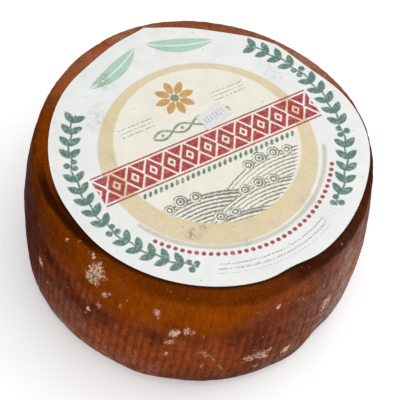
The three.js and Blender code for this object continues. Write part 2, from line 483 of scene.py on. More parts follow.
def barrel_radius(wheel, height):
    """Radius less BARREL_DROP times the square of (height - WIDEST_HEIGHT) / BARREL_SPAN."""
    return wheel.radius / MM - BARREL_DROP * ((height - WIDEST_HEIGHT) / BARREL_SPAN) ** 2


def lobe_scale(wheel, azimuth):
    """1 plus the sum of size * cos(waves * (azimuth - start)) over the lobes, by the radius."""
    wave = sum(size * np.cos(waves * np.radians(azimuth - start)) for waves, size, start in LOBES)
    return 1 + wave * MM / wheel.radius


def face_radius(wheel):
    """Where the flat of the upper face ends and the shoulder begins, before lobes."""
    return barrel_radius(wheel, SHOULDER_FOOT) - SHOULDER_RADIUS


def wheel_section(wheel):
    """Radius and height of each ring of points: along the base, up a quarter circle at the foot,
    up the parabola of the side, over a quarter circle at the shoulder and in to the middle."""
    foot_centre = barrel_radius(wheel, FOOT_RADIUS) - FOOT_RADIUS
    base = foot_centre * np.array((0.25, 0.6, 0.9))
    foot = np.radians(np.linspace(-90, 0, FOOT_RINGS))
    side = np.linspace(FOOT_RADIUS, SHOULDER_FOOT, SIDE_RINGS)[1:-1]
    shoulder = np.radians(np.linspace(0, 90, SHOULDER_RINGS))
    strip = np.linspace(face_radius(wheel), STRIP_RADIUS, STRIP_RINGS)[1:]
    inner = STRIP_RADIUS * np.array((0.8, 0.5, 0.2))
    radius = np.concatenate([
        base, foot_centre + FOOT_RADIUS * np.cos(foot), barrel_radius(wheel, side),
        face_radius(wheel) + SHOULDER_RADIUS * np.cos(shoulder), strip, inner])
    height = np.concatenate([
        np.zeros(base.size), FOOT_RADIUS + FOOT_RADIUS * np.sin(foot), side,
        SHOULDER_FOOT + SHOULDER_RADIUS * np.sin(shoulder),
        np.full(strip.size + inner.size, WHEEL_TOP)])
    return radius, height


def rounded(ring_radius, ring_height):
    """The section with its shoulder eased: each ring there is pulled towards the mean of the
    points within EASE_REACH along the path, weighted by a bell."""
    path = np.concatenate([[0], np.cumsum(np.hypot(np.diff(ring_radius), np.diff(ring_height)))])
    even = np.linspace(0, path[-1], 4000)
    weight = bell(path[:, None] - even[None, :], EASE_REACH)
    weight = weight / weight.sum(axis=1, keepdims=True)
    share = smoothstep(ring_height, SHOULDER_FOOT - 14, SHOULDER_FOOT - 4)
    share = share * smoothstep(ring_radius, STRIP_RADIUS, STRIP_RADIUS + 3)
    eased_radius = weight @ np.interp(even, path, ring_radius)
    eased_height = weight @ np.interp(even, path, ring_height)
    return (ring_radius + share * (eased_radius - ring_radius),
            ring_height + share * (eased_height - ring_height))


def label_radius(label, azimuth):
    """The label's radius round its own centre: the disc less bell-shaped cuts, plus corners that
    fall away as e^-(gap / spread)."""
    radius = np.full_like(azimuth, label.radius / MM)
    for middle, depth, spread in TRIMS:
        radius = radius - depth * bell(azimuth_gap(middle, azimuth), spread)
    for middle, height, spread in CORNERS:
        radius = radius + height * np.exp(-np.abs(azimuth_gap(middle, azimuth)) / spread)
    return radius


def past_label(label, x, y):
    """How far points lie outside the label's outline, measured from its centre."""
    x, y = x - LABEL_CENTRE[0], y - LABEL_CENTRE[1]
    return np.hypot(x, y) - label_radius(label, np.degrees(np.arctan2(y, x)))


def crease_gap(radius, azimuth):
    """How far a radius, before lobes, is from the middle of the crease at an azimuth."""
    shift = CREASE_SWERVE * smoothstep(azimuth, *CREASE_BEND)
    return radius - (CREASE_RADIUS - shift)


def crease_strength(azimuth):
    """How deep the crease is at an azimuth, from 0 to 1."""
    return smoothstep(azimuth, *CREASE_START) * (1 - smoothstep(azimuth, *CREASE_END))


def mould_growth(azimuth, climb, points, radius):
    """How thickly mould has grown, from 0 to 1. Each spot is an ellipse, leaning and fading over
    the outer part of its radius, and noise roughens them all."""
    rough = layered(points, MOULD_EDGE)
    growth = np.zeros_like(azimuth)
    for middle, middle_climb, width, size, lean, strength in MOULD_SPOTS:
        across = np.radians(azimuth_gap(middle, azimuth)) * radius
        across, along = turned(across, climb - middle_climb, math.radians(-lean))
        reach = np.hypot(across / (width / 2), along / (size / 2))
        growth = np.maximum(growth, strength * np.clip((1.35 - reach + rough) / 0.7, 0, 1))
    return growth


# The tones of the rind, as pairs of an azimuth and a value where nothing else is said.
AMBER_FOOT = ((0, 74), (200, 78), (219, 72), (230, 71), (252, 63), (261, 68), (282, 60),
              (293, 74), (306, 88), (316, 95), (330, 95), (360, 74))
AMBER_FADE = 11
BELT_DROP = 9  # how far the smoked belt's middle lies below the amber band's foot
BELT_SPREAD = 14
BELT_STRENGTH = ((0, 0.75), (284, 0.75), (302, 0.3), (330, 0.3), (360, 0.75))
SILL_STRENGTH = ((0, 0.5), (245, 0.3), (268, 0.7), (300, 0.7), (318, 0.45), (360, 0.5))
# Painted shade over the shoulder: where it starts, how far it fades and its strength, by azimuth; then
# the strength of the painted shadow beside the label's edge.
SHOULDER_SHADE_FOOT = ((0, 87), (20, 91), (50, 98), (225, 98), (245, 94), (294, 89.8), (306, 91.2),
            (318, 91.6), (330, 88.8), (345, 86.2), (360, 87))
SHOULDER_SHADE_FADE = 3
SHOULDER_SHADE_STRENGTH = ((0, 0.95), (30, 0.7), (240, 0.7), (270, 0.67), (284, 0.56), (296, 0.62),
                (306, 0.67), (312, 0.95))
LABEL_SHADOW_STRENGTH = ((0, 1), (30, 0), (200, 0), (214, 1))
CREASE_SHADE_SIDE = 0.9  # how far outside the crease's middle its painted shade lies
# Painted reflection of the pale floor and room: at the right, further round, on the rim at the back, at
# the foot and just above the floor.
RIGHT_REFLECTION = ((0, 0.48), (25, 0.42), (60, 0.34), (90, 0.24))  # by height
FAR_REFLECTION = ((0, 0.56), (60, 0.54), (75, 0.3), (86, 0.14), (90, 0))  # by height
RIM_REFLECTION = ((16, 0), (52, 0.44), (80, 0.26), (100, 0.2), (138, 0.38), (172, 0))
FOOT_REFLECTION = ((0, 0.1), (196, 0.1), (210, 0.2), (250, 0.3), (268, 0.18), (296, 0.16),
             (320, 0.34), (360, 0.1))
FLOOR_REFLECTION = 0.32

# Bumps: azimuth, height, strength, spread round and spread up.
SMOKED_BRUISES = ((296, 52, 1.0, 4.5, 12),)
DARK_BRUISES = ((306, 54, 0.6, 8, 16), (329, 46, 0.5, 6, 13))

# Stretches: azimuth, spread round, strength, the height of nothing and that of all its strength.
SMOKED_STRETCHES = ((304, 12, 0.4, 58, 36),)
DARK_STRETCHES = (
    (314, 20, 0.55, -2, -1),  # as strong at every height
    (318, 9, 0.5, 50, 75),
    (282, 13, 1.1, 54, 12),
    (88, 44, 0.5, 84, 94),
)
PALE_STRETCHES = ((204, 8, 0.45, 88, 95),)
LEFT_REFLECTION_STRETCHES = ((229, 14, 0.4, 58, 20),)


def amber_tone(azimuth, height, drift, patch):
    """The oiled upper band, whose foot wanders and fades over AMBER_FADE each way."""
    foot = through(AMBER_FOOT, azimuth)
    return smoothstep(height + 7 * drift + 4 * patch, foot - AMBER_FADE, foot + AMBER_FADE)


def smoked_and_shaded_tone(azimuth, height, drift, patch):
    """The smoked rind: a belt below the amber band, the foot and patches at the right; and painted
    shade over the far left flank up to its shoulder."""
    belt = bell(height - through(AMBER_FOOT, azimuth) + BELT_DROP, BELT_SPREAD)
    belt = belt * through(BELT_STRENGTH, azimuth) * smoothstep(patch + 0.6 * drift, -0.9, 0.4)
    # Painted shade over the far left flank, less of it high up and on the upper face.
    left_flank_shade = 0.9 * smoothstep(azimuth, 234, 202) * smoothstep(azimuth, 150, 180)
    left_flank_shade = left_flank_shade * (1 - 0.3 * smoothstep(height, 76, 92))
    left_flank_shade = left_flank_shade * (1 - 0.5 * smoothstep(height, 93, 95.5) * smoothstep(azimuth, 206, 196))
    sill = through(SILL_STRENGTH, azimuth) * smoothstep(height + 4 * patch, 26, 6)
    bruises = bumps(SMOKED_BRUISES, azimuth, height)
    return belt + left_flank_shade + sill + bruises + stretches(SMOKED_STRETCHES, azimuth, height)


def left_shade_and_patina_tone(azimuth, height, drift, patch):
    """Where the rind is darker: painted shade over the left side, but for a pale stretch of its
    shoulder, and darker patches at the front, the right and the back."""
    # Painted shade: the left side is darker, as if the light fell from the right.
    left = smoothstep(azimuth, 262, 225) * smoothstep(azimuth, 150, 180)
    left = left * smoothstep(height, 0, 26)
    pale = 0.4 * smoothstep(azimuth, 204, 194) * smoothstep(height, 94.5, 96)
    pale = pale + stretches(PALE_STRETCHES, azimuth, height)
    dark = bumps(DARK_BRUISES, azimuth, height) + stretches(DARK_STRETCHES, azimuth, height)
    return left * (1 - pale) + dark + 0.35 * drift + 0.25 * patch


def painted_shade_tone(label, azimuth, height, radius, points, patch):
    """Painted shade: over the shoulder, as a painted shadow on the face beside the label's edge, and in
    the crease.
    """
    foot = through(SHOULDER_SHADE_FOOT, azimuth)
    shoulder = smoothstep(height + 1.2 * patch, foot - SHOULDER_SHADE_FADE, foot + SHOULDER_SHADE_FADE)
    shoulder = shoulder * through(SHOULDER_SHADE_STRENGTH, azimuth)
    beyond = past_label(label, points[..., 0], points[..., 1])
    # A painted shadow beside the label's edge.
    edge = 0.7 * smoothstep(beyond + 0.8 * patch, 3.5, 0.4)
    edge = (edge + 0.42 * smoothstep(beyond + patch, 9, 3)) * through(LABEL_SHADOW_STRENGTH, azimuth)
    # Painted shade in the crease.
    gap = np.abs(crease_gap(radius, azimuth) - CREASE_SHADE_SIDE) + 0.7 * patch
    groove = smoothstep(gap, 3.2, 1.5) * crease_strength(azimuth)
    groove = groove * smoothstep(height, SHOULDER_FOOT, WHEEL_TOP)
    return np.maximum.reduce([shoulder, edge, groove])


def painted_reflection_tone(azimuth, height, drift, patch):
    """Painted reflection of the pale floor and room: at the right and further round, thinly over
    the left flank and the foot, and on the rim at the back."""
    right = bell(azimuth_gap(332, azimuth), 23) * through(RIGHT_REFLECTION, height)
    far = bell(azimuth_gap(341, azimuth), 12) * through(FAR_REFLECTION, height)
    left = stretches(LEFT_REFLECTION_STRETCHES, azimuth, height)
    rim = through(RIM_REFLECTION, azimuth) * smoothstep(height, 84, 94)
    foot = through(FOOT_REFLECTION, azimuth) * smoothstep(height, 34, 4)
    foot = foot + FLOOR_REFLECTION * smoothstep(height, 13, 3)
    return (right + far + left + rim + foot) * (1 + 0.8 * patch + 0.3 * drift)


def rind_tones(label, azimuth, height, radius, points):
    """The numbers from 0 to 1 that colour the rind, made uneven by drifts of 24 mm and patches
    of 11 mm."""
    drift = noise(points, 24, 11)
    patch = noise(points, 11, 12)
    tones = {
        "amber": amber_tone(azimuth, height, drift, patch),
        "dusk": smoked_and_shaded_tone(azimuth, height, drift, patch),
        "patina": left_shade_and_patina_tone(azimuth, height, drift, patch),
        "deep": painted_shade_tone(label, azimuth, height, radius, points, patch),
        "bloom": painted_reflection_tone(azimuth, height, drift, patch),
    }
    return {key: np.clip(tone, 0, 1) for key, tone in tones.items()}


def shape_wheel(wheel, label):
    """Points and values of the rind, ring by ring. Each ring is the section's radius times the
    lobes. Ribs, knocks, lumps, pits, crease and mould then move each point along the normal of
    the section. All columns lean with the ribs."""
    ring_radius, ring_height = rounded(*wheel_section(wheel))
    count = COLUMNS_PER_RIB * wheel.rib_count
    column, height = np.meshgrid(np.arange(count) * 360 / count, ring_height)
    radius = np.repeat(ring_radius[:, None], count, axis=1)
    azimuth = (column + RIB_LEAN * height / LEAN_HEIGHT) % 360
    turn = np.radians(azimuth)
    reach = radius * lobe_scale(wheel, azimuth)
    points = np.stack([reach * np.cos(turn), reach * np.sin(turn), height], -1)

    step_out, step_up = np.gradient(ring_radius), np.gradient(ring_height)
    steps = np.hypot(step_out, step_up)
    out, up = (step_up / steps)[:, None], (-step_out / steps)[:, None]
    base_edge = barrel_radius(wheel, FOOT_RADIUS) - FOOT_RADIUS
    path = np.concatenate([[0], np.cumsum(np.hypot(np.diff(ring_radius), np.diff(ring_height)))])
    climb = path - np.interp(base_edge, ring_radius[:4], path[:4])
    climb = np.repeat(climb[:, None], count, axis=1)

    faded = height + layered(points, RIB_FADING)
    grown = smoothstep(height, *RIB_FOOT) * (1 - smoothstep(faded, *RIB_TOP))
    unevenness = np.clip(0.8 + layered(points, RIB_UNEVENNESS), 0.1, 1.3)
    wave = wheel.rib_count * np.radians(column) + layered(points, RIB_SWAY)
    wave = (1 - np.cos(wave)) / 2
    ridge = (1 - 2 * wave ** GROOVE_SHARPNESS) * grown * unevenness
    ribs = ridge * wheel.rib_depth / MM / 2

    lumps = wheel.lump_size / MM * layered(points, LUMPS)
    drag = layered(points * (1, 1, DRAG_STRETCH), DRAG_MARKS) + layered(points, GRAIN)
    worn = 0.35 + 0.65 * bell(azimuth_gap(PITTED_SIDE, azimuth), PITTED_SPREAD)
    pits = -PIT_DEPTH * worn * smoothstep(layered(points, PITS), 0.42, 0.75)
    growth = mould_growth(azimuth, climb, points, radius)
    crust = growth * (CRUST_HEIGHT + layered(points, CRUST_GRAIN))
    groove = -CREASE_DEPTH * bell(crease_gap(radius, azimuth), CREASE_SPREAD)
    groove = groove * crease_strength(azimuth)

    # On the upper face the relief stays low, so that the label lies flat.
    face_share = smoothstep(height, SHOULDER_FOOT, WHEEL_TOP)
    on_side = smoothstep(height, 0, 5) * (1 - face_share)
    side_relief = ribs + bumps(KNOCKS, azimuth, height) + lumps + drag + pits + crust
    shown = smoothstep(past_label(label, points[..., 0], points[..., 1]), -2, 1)
    face_relief = np.minimum((0.3 * lumps + drag - 0.15) * shown, 0.1) + groove
    relief = side_relief * on_side + face_relief * face_share
    turn_out = np.stack([out * np.cos(turn), out * np.sin(turn), up + 0 * turn], -1)
    points = points + relief[..., None] * turn_out
    points[..., 2] = np.clip(points[..., 2], 0, WHEEL_TOP)

    values = {"ridge": ridge, "mould": growth}
    values.update(rind_tones(label, azimuth, height, radius, points))
    return points, values


def rind_material(wheel):
    """Cheese rind, salted, oiled and smoked. Oil gives a dull sheen over brown that shifts from
    amber to purple. Each stroke of the mould's slats left a darker line, and the grooves between
    ribs are darkened with painted shade. Painted shade also lies over the left flank, the
    shoulder, beside the label, in the crease and in pores, and a painted grey-pink reflection on
    the right, the far rim and the foot. Dry mould is pale, matt and crumbly."""
    material, tree, shader = new_material("smoked_cheese_rind", ior=1.46,
                                          specular_ior_level=0.0015)
    place = add(tree, "ShaderNodeTexCoord")["Object"]
    upright = add(tree, "ShaderNodeMapping", {"Vector": place, "Scale": (1, 1, 0.14)})["Vector"]
    part = {key: add(tree, "ShaderNodeAttribute", attribute_name=key)["Fac"]
            for key in ("ridge", "mould", "amber", "dusk", "patina", "deep", "bloom")}

    # Noise: its name, place, size in mm, detail and roughness. Streaks run up the side.
    noises = (
        ("patches", place, 12, 5, 0.6),
        ("blotch", place, 5, 4, 0.6),
        ("grain", place, 1.4, 3, 0.5),
        ("streak", upright, 1.6, 4, 0.5),
        ("crumbs", place, 1.3, 3, 0.6),
    )
    for key, where, size, detail, roughness in noises:
        part[key] = add(tree, "ShaderNodeTexNoise", {
            "Vector": where, "Scale": per(size), "Detail": detail, "Roughness": roughness})["Fac"]
    # Cells of these sizes in mm, by how far a point is from the middle of its cell.
    for key, size in (("pore", 3.4), ("crumb", 1.2), ("speck", 3.6)):
        part[key] = add(tree, "ShaderNodeTexVoronoi", {"Vector": place, "Scale": per(size)})["Distance"]
    # The amber and the smoked rind stray from their bounds in patches.
    strayed = add(tree, "ShaderNodeMath", {0: part["patches"], 1: 1.1, 2: -0.55},
                  operation="MULTIPLY_ADD")[0]
    for key in ("amber", "dusk"):
        part[key] = add(tree, "ShaderNodeMath", {0: part[key], 1: strayed}, operation="ADD",
                        use_clamp=True)[0]

    # Ranges: a name, what it follows, two values of that and the two that they become. Pores of
    # about 0.5 mm are drawn as painted shade 1 mm wide, so that they show. Specks are 0.8 mm wide.
    ranges = (
        ("blotches", "blotch", 0.3, 0.7, 0.74, 1.26),
        ("grains", "grain", 0.25, 0.75, 0.74, 1.26),
        ("streaks", "streak", 0.3, 0.7, 0.82, 1.14),
        # painted shade in the grooves between ribs
        ("groove_shade", "ridge", -0.9, 0.9, 0.76, 1.08),
        ("shade_and_age", "patina", 0, 1, 1, 0.64),
        ("pore_shade", "pore", 0.1, 0.22, 0.34, 0),
        ("thick", "mould", 0.02, 0.4, 0, 1),
        ("specks", "speck", 0.09, 0.16, 1, 0),
        ("settled", "blotch", 0.52, 0.66, 0, 0.6),
        ("bare", "amber", 0, 1, 1, 0.3),
        ("dust", "grain", 0.3, 0.7, 0.7, 1.1),
        ("sheen", "patches", 0.3, 0.7, 0.36, 0.5),
    )
    for key, source, *limits in ranges:
        part[key] = add(tree, "ShaderNodeMapRange", dict(enumerate((part[source], *limits))))[0]

    # Products: a name and its factors. Blotches and grain make the rind and the painted reflection
    # on it uneven, less so where it is oiled. Streaks, patina with the painted shade of the left
    # side, and the painted shade in the grooves between ribs darken it. Young mould is specks that
    # gather in some blotches, fewer of them on oiled rind.
    products = (
        ("uneven", "blotches", "grains"),
        ("reflection_share", "bloom", "uneven"),
        ("smoked", "dusk", 0.85),
        ("painted_shade_share", "deep", 0.9),
        ("calm", "amber", 0.55),
        ("darkened", "streaks", "groove_shade", "shade_and_age"),
        ("speckled", "specks", "settled", "bare"),
    )
    for key, first, *factors in products:
        part[key] = part[first]
        for factor in factors:
            part[key] = add(tree, "ShaderNodeMath", {0: part[key], 1: part.get(factor, factor)},
                            operation="MULTIPLY")[0]

    # Grown mould is crumbs that run together where it is thick.
    cover = add(tree, "ShaderNodeMath", {0: part["crumb"], 1: -0.75, 2: part["crumbs"]},
                operation="MULTIPLY_ADD")[0]
    cover = add(tree, "ShaderNodeMath", {0: cover, 1: 1.9, 2: part["mould"]},
                operation="MULTIPLY_ADD")[0]
    cover = add(tree, "ShaderNodeMapRange", {"Value": cover, "From Min": 0.37, "From Max": 1.27})[0]
    cover = add(tree, "ShaderNodeMath", {0: cover, 1: part["thick"]}, operation="MULTIPLY")[0]
    cover = add(tree, "ShaderNodeMath", {0: cover, 1: part["speckled"]}, operation="MAXIMUM")[0]

    # The last of these colours is the painted reflection.
    skin = wheel.russet[:]
    for key, over in (("amber", wheel.amber), ("smoked", wheel.dusk), ("reflection_share", wheel.bloom)):
        skin = add(tree, "ShaderNodeMix", {0: part[key], COLOUR_A: skin, COLOUR_B: over[:]},
                   data_type="RGBA")[COLOUR_OUT]
    shade = add(tree, "ShaderNodeMix", {0: part["calm"], 2: part["uneven"], 3: 1.0})[0]
    shade = add(tree, "ShaderNodeMath", {0: shade, 1: part["darkened"]}, operation="MULTIPLY")[0]
    skin = add(tree, "ShaderNodeVectorMath", {0: skin, "Scale": shade}, operation="SCALE")[0]
    mould = add(tree, "ShaderNodeVectorMath", {0: wheel.mould[:3], "Scale": part["dust"]},
                operation="SCALE")[0]
    # Painted shade over the shoulder, beside the label, in the crease and in pores, then the mould.
    deep = wheel.deep[:]
    for share, over in ((part["painted_shade_share"], deep), (part["pore_shade"], deep), (cover, mould)):
        skin = add(tree, "ShaderNodeMix", {0: share, COLOUR_A: skin, COLOUR_B: over},
                   data_type="RGBA")[COLOUR_OUT]
    tree.links.new(skin, shader.inputs["Base Color"])

    rough = add(tree, "ShaderNodeMix", {0: cover, 2: part["sheen"], 3: 0.9})[0]
    tree.links.new(rough, shader.inputs["Roughness"])
    height = cover
    for key in ("grain", "streak"):
        height = add(tree, "ShaderNodeMath", {0: height, 1: part[key]}, operation="ADD")[0]
    relief = add(tree, "ShaderNodeBump", {"Height": height, "Strength": 0.8, "Distance": 0.35 * MM})[0]
    tree.links.new(relief, shader.inputs["Normal"])
    return material


# ------------------------------------------------------------------------- the label's print

# Where the motifs stand: millimetres round or above the label's middle, and from one to the next.
BRANCH_RADIUS = 77.8
LEAF_PITCH = 8.1
BEAD_RADIUS = 69.6
BEAD_PITCH = 3.9
FRIEZE_UP = 1.0
FRIEZE_PITCH = 11.6
FRIEZE_REACH = 69.6
DASHES_UP = -12.4
DASH_PITCH = 3.4
ROSETTE_UP = 39.0
BRAID_UP = 19.0

# Hills and trees of the engraving: how far right and up of the label's middle, and radius. A
# hill also has a tone.
HILLS = ((30, -87, 68, 0.4), (-28, -95, 70, 0.55), (12, -104, 70, 0.45), (-14, -118, 74, 0.6))
TREES = (
    (14, -20, 3.4), (22, -18.4, 4), (31, -18.6, 3.6), (39, -20.4, 3.2),
    (-40, -26.6, 3.2), (-32, -24.2, 4), (-23, -25.4, 3.4),
    (4, -33.4, 3.6), (13, -32.6, 4.2), (22, -34.2, 3.4),
    (-17, -42.6, 3.8), (-8, -43.4, 3.2),
)


def vesica(along, across, size, width):
    """Distance outside a pointed oval, negative inside. Two circles cross at its tips."""
    half = width / 2
    arc = ((size / 2) ** 2 + half ** 2) / width
    return np.hypot(along, np.abs(across) + arc - half) - arc


def diamond(across, up, width, height):
    """Distance outside a diamond, negative inside, from |across| / width + |up| / height."""
    ratio = 2 * np.abs(across) / width + 2 * np.abs(up) / height - 1
    return ratio * width * height / 2 / math.hypot(width, height)


def repeated(value, pitch):
    """A coordinate measured from the middle of the nearest of evenly spaced cells, with the
    number of that cell."""
    cell = np.round(value / pitch)
    return value - cell * pitch, cell


def within(value, low, high):
    """Distance outside the stretch from low to high, negative inside."""
    return np.abs(value - (low + high) / 2) - (high - low) / 2


def nearest(*distances):
    """The union of shapes: the least of their distances."""
    return np.minimum.reduce(np.broadcast_arrays(*distances))


def branches(fold, radius):
    """Two laurel branches that mirror each other: leaves in slanting pairs on a stem, with a
    cluster of berries in every sixth place. They run up the sides."""
    along = np.radians(fold) * BRANCH_RADIUS
    out = radius - BRANCH_RADIUS
    stem = np.abs(out - 0.7 * np.sin(along / LEAF_PITCH * np.pi)) - 0.55
    shapes = [np.maximum(stem, within(along, -9.4 * LEAF_PITCH, 7.3 * LEAF_PITCH))]
    for neighbour in (-1, 0, 1):
        gap, cell = repeated(along, LEAF_PITCH)
        gap, cell = gap - neighbour * LEAF_PITCH, cell + neighbour
        grown = (cell > -9.5) & (cell < 7.5)
        berry = cell % 6 == 3
        for side in (-1, 1):
            axis, width = turned(gap, side * (out - 2.6 * side), math.radians(46))
            leaf = vesica(axis, width, 9.4, 4.3)
            shapes.append(np.where(grown & ~berry, leaf, 9.0))
        cluster = nearest(np.hypot(gap, out - 2.7) - 1.9, np.hypot(gap - 2.2, out + 1.6) - 1.8,
                          np.hypot(gap + 2.2, out + 1.6) - 1.8)
        shapes.append(np.where(grown & berry, cluster, 9.0))
    return nearest(*shapes)


def frieze(right, up):
    """The broad band across the label, like a woven border: a row of diamonds with a diamond in
    the hole of each, teeth that point into the gaps from both sides, and a rule on each side."""
    up = up - FRIEZE_UP
    gap, _ = repeated(right, FRIEZE_PITCH)
    between, _ = repeated(right - FRIEZE_PITCH / 2, FRIEZE_PITCH)
    stones = np.maximum(diamond(gap, up, 11.0, 16.4), -diamond(gap, up, 5.2, 7.6))
    kernels = diamond(gap, up, 2.4, 3.6)
    teeth = np.maximum(diamond(between, np.abs(up) - 8.2, 9.0, 13.0), np.abs(up) - 8.2)
    rules = np.abs(np.abs(up) - 9.8) - 0.5
    return np.maximum(nearest(stones, kernels, teeth, rules), np.abs(right) - FRIEZE_REACH)


def rosette(right, up):
    """Eight pointed petals round a gap, in ochre."""
    up = up - ROSETTE_UP
    angle = np.arctan2(up, right)
    gap, _ = repeated(angle, math.pi / 4)
    radius = np.hypot(right, up)
    return vesica(radius * np.cos(gap) - 7.4, radius * np.sin(gap), 9.6, 4.6)


def braid(right, up):
    """Two sine waves that cross, like a twisted cord, with a dot in each loop."""
    up = up - BRAID_UP
    height = 2.9 * np.sin(right / 4.0)
    strands = nearest(np.abs(up - height), np.abs(up + height)) * 0.8 - 0.6
    gap, _ = repeated(right - 2 * math.pi, 4 * math.pi)
    eye = np.hypot(gap, up) - 1.0
    return np.maximum(nearest(strands, eye), within(right, -8 * math.pi, 8 * math.pi) + 0.4)


def long_leaves(right, up):
    """Two long pale leaves that meet at the top, each with a bare vein."""
    along, across = turned(np.abs(right) - 21, 71 - up, math.radians(22))
    leaf = vesica(along, across + along ** 2 / 160, 42, 10)
    vein = np.abs(across + along ** 2 / 160) - 0.45
    return np.maximum(leaf, -vein)


def engraving(right, up, radius):
    """The engraved fields below the frieze: how dark they are, from 0 to 1, and a number that
    goes up by 1 from one line to the next. Rolling hills stand in front of one another, ploughed
    along their crests, with rows of round trees whose lines are rings."""
    dark = np.zeros_like(right)
    lines = np.zeros_like(right)
    for middle, level, size, tone in HILLS:
        depth = size - np.hypot(right - middle, up - level)
        shade = tone + 0.3 * np.clip((right - middle) / 40, -1, 1) + 0.4 * bell(depth - 0.6, 1.4)
        dark = np.where(depth > 0, shade, dark)
        lines = np.where(depth > 0, depth / 2.4, lines)
    for middle, level, size in TREES:
        crown = np.hypot(right - middle, up - level)
        crown_tone = 0.75 + 0.25 * np.clip((right - middle) / size, -1, 1)
        dark = np.where(crown < size, crown_tone, dark)
        lines = np.where(crown < size, (size - crown) / 1.7, lines)
    return dark * smoothstep(-radius, -52, -48), lines


def fine_print(right, up, fold, radius):
    """The rules that stand for small print: a number that goes up by 1 from one rule to the
    next, and the distance outside the blocks that they fill."""
    block = np.maximum(within(np.abs(right), 19, 40), within(up, 26, 34.8))
    arc = np.maximum(within(radius, 75.6, 82), (fold + 64) * 1.3)
    rows = np.where(arc < 1.5, radius / 3.1, up / 2.6)
    return rows, nearest(block, arc)


def print_values(label, points):
    """The label's print as one number a point for each ink: the distance in millimetres outside
    what it prints, so that the material can cut its edge sharply."""
    right, up = turned(points[:, 0] - LABEL_CENTRE[0], points[:, 1] - LABEL_CENTRE[1], label.turn)
    radius = np.hypot(right, up)
    # 90 degrees at the top, 0 at both sides and -90 at the bottom.
    fold = np.degrees(np.arctan2(up, np.abs(right)))
    beads, _ = repeated(np.radians(fold + 90) * BEAD_RADIUS, BEAD_PITCH)
    dash, _ = repeated(right, DASH_PITCH)
    dash_along, dash_across = turned(dash, up - DASHES_UP, math.radians(58))
    specks = noise(points, 2.6, 51)
    rows, block = fine_print(right, up, fold, radius)
    tone, lines = engraving(right, up, radius)
    stain = np.zeros_like(radius)
    for middle, level, size, strength in LABEL_STAINS:
        reach = np.hypot(right - middle, up - level) / size
        stain = np.maximum(stain, strength * smoothstep(-reach + 0.5 * specks, -1.3, 0))
    return {
        "cream": radius - 57.5,
        "tan": np.maximum(np.hypot(right + 1, up + 1.5) - 62, 53 - np.hypot(right - 1, up - 3)),
        "khaki": np.maximum(np.abs(radius - 65.4) - 1.2, (fold + 24) * 1.1),
        "pale_green": long_leaves(right, up),
        "green": nearest(branches(fold, radius), np.maximum(
            vesica(dash_along, dash_across, 4.4, 1.9), within(right, -49, 49))),
        "olive": nearest(braid(right, up), np.hypot(right, up - ROSETTE_UP) - 2.6),
        "ochre": rosette(right, up),
        "red": nearest(frieze(right, up), np.maximum(
            np.hypot(beads, radius - BEAD_RADIUS) - 1.3, (fold + 34) * 1.2)),
        "tone": tone,
        "lines": lines,
        "rows": rows,
        "block": block,
        "stain": stain,
    }


def draped_height(wheel, x, y, clearance):
    """The height of a sheet lying a clearance above the upper face: level over the flat, and
    round the shoulder on a circle of its radius plus the clearance."""
    flat = face_radius(wheel) * lobe_scale(wheel, np.degrees(np.arctan2(y, x)))
    past = np.maximum(0, np.hypot(x, y) - flat)
    return SHOULDER_FOOT + np.sqrt((SHOULDER_RADIUS + clearance) ** 2 - past ** 2)


def paper_clearance(share, side):
    """How far the label's paper lies above the rind. It is glued down, so that its edge nearly
    touches. The upper surface is one paper thickness higher than the lower."""
    glued = smoothstep(share, 0.94, 1)
    low = PAPER_GAP - 0.2 * glued
    return low + side * (PAPER_THICKNESS - 0.12 * glued)


def ripples(label, x, y, share):
    """How far the paper bulges at a point: low ripples, a crease at the upper left and a lifted
    wave at the lower right of its edge."""
    flat = np.stack([x, y, np.zeros_like(x)], -1)
    size = label.ripple / MM
    bulge = size * noise(flat, 17, 61) + 0.45 * size * noise(flat, 6, 62)
    right, up = turned(x - LABEL_CENTRE[0], y - LABEL_CENTRE[1], label.turn)
    along, across = turned(right + 35, up - 72, math.radians(-38))
    crease = 0.45 * bell(across, 0.7) * bell(along, 7)
    azimuth = np.degrees(np.arctan2(y, x))
    wave = 0.45 * bell(azimuth_gap(312, azimuth), 9) * smoothstep(share, 0.86, 1)
    return np.maximum(bulge * (1 - smoothstep(share, 0.9, 1)), -0.15) + crease + wave


def shape_label(wheel, label):
    """Gives the label's place(u, v, side): the square becomes a disc by x = u * sqrt(1 - v^2 / 2)
    and y = v * sqrt(1 - u^2 / 2), which is stretched to the outline and draped."""

    def place(u, v, side):
        x = u * np.sqrt(1 - v ** 2 / 2)
        y = v * np.sqrt(1 - u ** 2 / 2)
        share = np.hypot(x, y)
        reach = label_radius(label, np.degrees(np.arctan2(y, x)))
        x = x * reach + LABEL_CENTRE[0]
        y = y * reach + LABEL_CENTRE[1]
        height = draped_height(wheel, x, y, paper_clearance(share, side))
        return np.stack([x, y, height + ripples(label, x, y, share)], -1)

    return place


